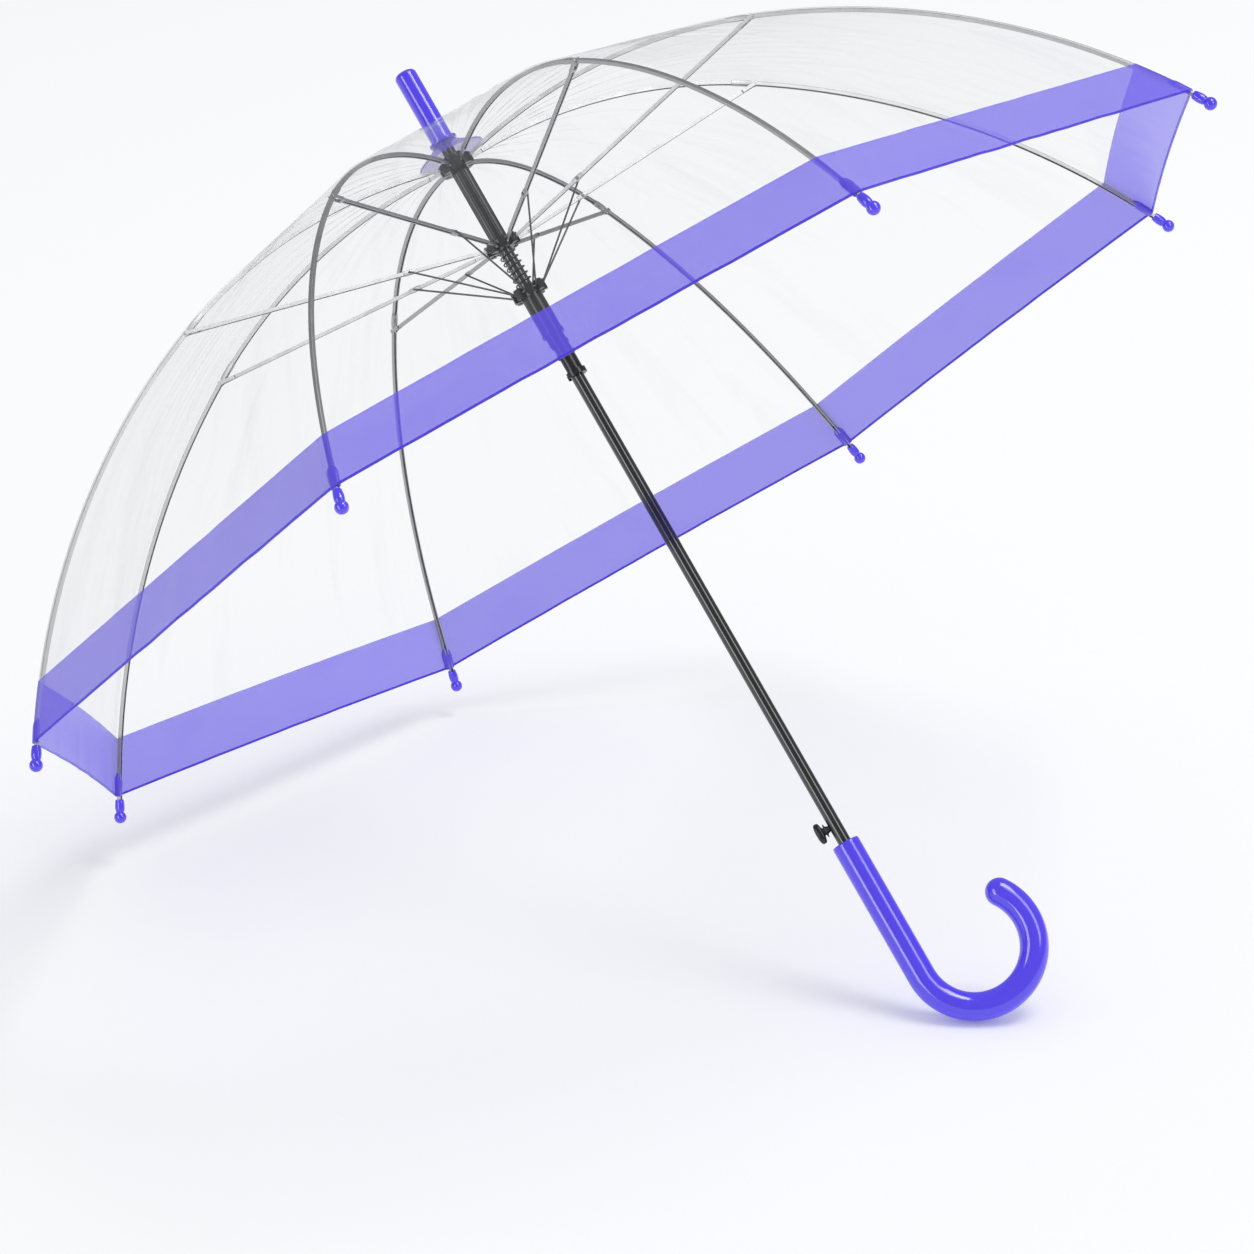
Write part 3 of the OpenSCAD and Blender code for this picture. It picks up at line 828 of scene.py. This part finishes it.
def pocket_rings(k, steps=16, sides=28):
    """A flattened tube round the rib's end: an oval that narrows towards its closed end."""
    t = np.linspace(0, 1, steps)
    size = np.sin(np.pi / 2 * np.clip(t * 2.2, 0.12, 1)) * (1 - 0.12 * t)
    line, slope = rib_line(hem_s - pocket_len * (1 - t))
    turn = np.linspace(0, 2 * np.pi, sides, endpoint=False)
    lift = 0.0008 + pocket_h * np.outer(size, np.cos(turn))
    points = line[:, None] + lift[..., None] * up_normal(slope)[:, None]
    return placed(k, points, pocket_w * np.outer(size, np.sin(turn)))


for k in ribs:
    band, flat, area = film_piece(f"band_{k}", k, weld_line, hem_line, 10, lift=band_lift)
    band.data.materials.append(violet_film)
    fold_film(band, f"rib_outer_{k}")
    hem = skin(f"hem_{k}", hem_rings(k))
    hem.data.materials.append(hem_film)
    fold_film(hem, f"rib_outer_{k}")
    pocket = skin(f"pocket_{k}", pocket_rings(k))
    fit(pocket, f"rib_outer_{k}", violet_film, "violet_film")


# ---- Stage, light and camera -------------------------------------------------------------
# A pale floor just under the hook and two rib tips, the way an open umbrella lies down. It
# shows from its upper side only, and glows a little. The world is dimmer in reflections, and
# the two strips show in reflections only. The light is soft, with two long panels whose reflections
# run along the handle and the shaft.

view_turn = math.radians(-1.75)
view_rise = math.radians(-7.83)
view_roll = math.radians(29.7)
view_distance = 3.33
aim = np.array([-0.059, 0.009, 0.378])
back = np.array(
    [
        math.sin(view_turn) * math.cos(view_rise),
        -math.cos(view_turn) * math.cos(view_rise),
        math.sin(view_rise),
    ]
)
level = np.array([math.cos(view_turn), math.sin(view_turn), 0])
upright = np.cross(back, level)
right = math.cos(view_roll) * level - math.sin(view_roll) * upright
above = math.sin(view_roll) * level + math.cos(view_roll) * upright

camera_data = bpy.data.cameras.new("camera")
camera_data.lens = 131.9
camera_data.sensor_width = 36
camera = add_object("camera", camera_data)


def place_by_axes(obj, place, x_axis, y_axis, z_axis):
    """Puts an object at a place, with its axes along the given directions."""
    columns = np.stack([x_axis, y_axis, z_axis, place], 1)
    obj.matrix_world = Matrix([*columns.tolist(), [0, 0, 0, 1]])


place_by_axes(camera, aim + view_distance * back, right, above, back)
bpy.context.scene.camera = camera

# The floor leans so that rib tips 3 and 4 and the hook are at one height over it.
path, _ = handle_path(np.linspace(0, handle_top - hook_centre_z + hook_r * hook_turn, 400))
tip = placed(3, tip_pt, 0.0)
between_tips = 6 * half_gore
away_from_tips = np.array([math.cos(between_tips), math.sin(between_tips), 0]) * -1
lean = np.radians(np.linspace(20, 60, 4001))
normals = np.outer(np.sin(lean), away_from_tips) + np.outer(np.cos(lean), [0, 0, 1])
tip_height = normals @ tip - tip_ball_r
handle_height = (normals @ path.T).min(1) - handle_r
rest = np.abs(tip_height - handle_height).argmin()
floor_up = normals[rest]
floor_clearance = 0.0015
floor_size = 30
floor_gap = tip_height[rest] - floor_clearance
floor_mesh = bpy.data.meshes.new("floor")
corners = [
    floor_gap * floor_up + floor_size * (x * right + y * np.cross(floor_up, right))
    for x, y in ((-1, -1), (1, -1), (1, 1), (-1, 1))
]
floor_mesh.from_pydata([c.tolist() for c in corners], [], [(0, 1, 2, 3)])
floor = add_object("floor", floor_mesh)
floor_material = bpy.data.materials.new("floor")
floor_material.use_nodes = True
floor_nodes, floor_links = floor_material.node_tree.nodes, floor_material.node_tree.links
paper = floor_nodes["Principled BSDF"]
paper.inputs["Base Color"].default_value = (0.95, 0.95, 0.95, 1)
paper.inputs["Roughness"].default_value = 1.0
paper.inputs["Specular IOR Level"].default_value = 0.0
paper.inputs["Emission Color"].default_value = (1, 1, 1, 1)
paper.inputs["Emission Strength"].default_value = 0.12
behind, seen_through, choose = (
    floor_nodes.new("ShaderNodeNewGeometry"),
    floor_nodes.new("ShaderNodeBsdfTransparent"),
    floor_nodes.new("ShaderNodeMixShader"),
)
floor_links.new(behind.outputs["Backfacing"], choose.inputs[0])
floor_links.new(paper.outputs[0], choose.inputs[1])
floor_links.new(seen_through.outputs[0], choose.inputs[2])
floor_links.new(choose.outputs[0], floor_nodes["Material Output"].inputs["Surface"])
floor_mesh.materials.append(floor_material)

world = bpy.data.worlds.new("studio")
world.use_nodes = True
soft_box = world.node_tree.nodes["Background"]
soft_box.inputs["Color"].default_value = (0.93, 0.94, 0.96, 1)
world_light = 0.68
world_in_reflections = 0.36
ray = world.node_tree.nodes.new("ShaderNodeLightPath")
dim = world.node_tree.nodes.new("ShaderNodeMapRange")
dim.inputs["To Min"].default_value = world_light
dim.inputs["To Max"].default_value = world_in_reflections
world.node_tree.links.new(ray.outputs["Is Glossy Ray"], dim.inputs["Value"])
world.node_tree.links.new(dim.outputs["Result"], soft_box.inputs["Strength"])
bpy.context.scene.world = world


def panel(name, direction, distance, width, height, power, long_axis):
    """A soft area light in a direction from the middle of the umbrella, turned towards it."""
    data = bpy.data.lights.new(name, "AREA")
    data.shape, data.size, data.size_y, data.energy = "RECTANGLE", width, height, power
    light = add_object(name, data)
    away = direction / np.linalg.norm(direction)
    y_axis = long_axis - away * (long_axis @ away)
    y_axis = y_axis / np.linalg.norm(y_axis)
    place_by_axes(light, aim + distance * away, np.cross(y_axis, away), y_axis, away)
    return light


shaft_axis = np.array([0.0, 0.0, 1.0])
facing = np.array([math.sin(view_turn), -math.cos(view_turn), 0])
for name, angle, power in (("left_strip", -38, 32), ("right_strip", 50, 27)):
    turned = math.radians(angle)
    direction = math.cos(turned) * facing + math.sin(turned) * level - back[2] * shaft_axis
    strip = panel(name, direction, 2.6, 0.85, 3.0, power, shaft_axis)
    strip.visible_diffuse = False
panel("top", floor_up + 0.3 * right, 9.0, 4.0, 4.0, 260, right)

bpy.context.scene.view_settings.view_transform = "Standard"
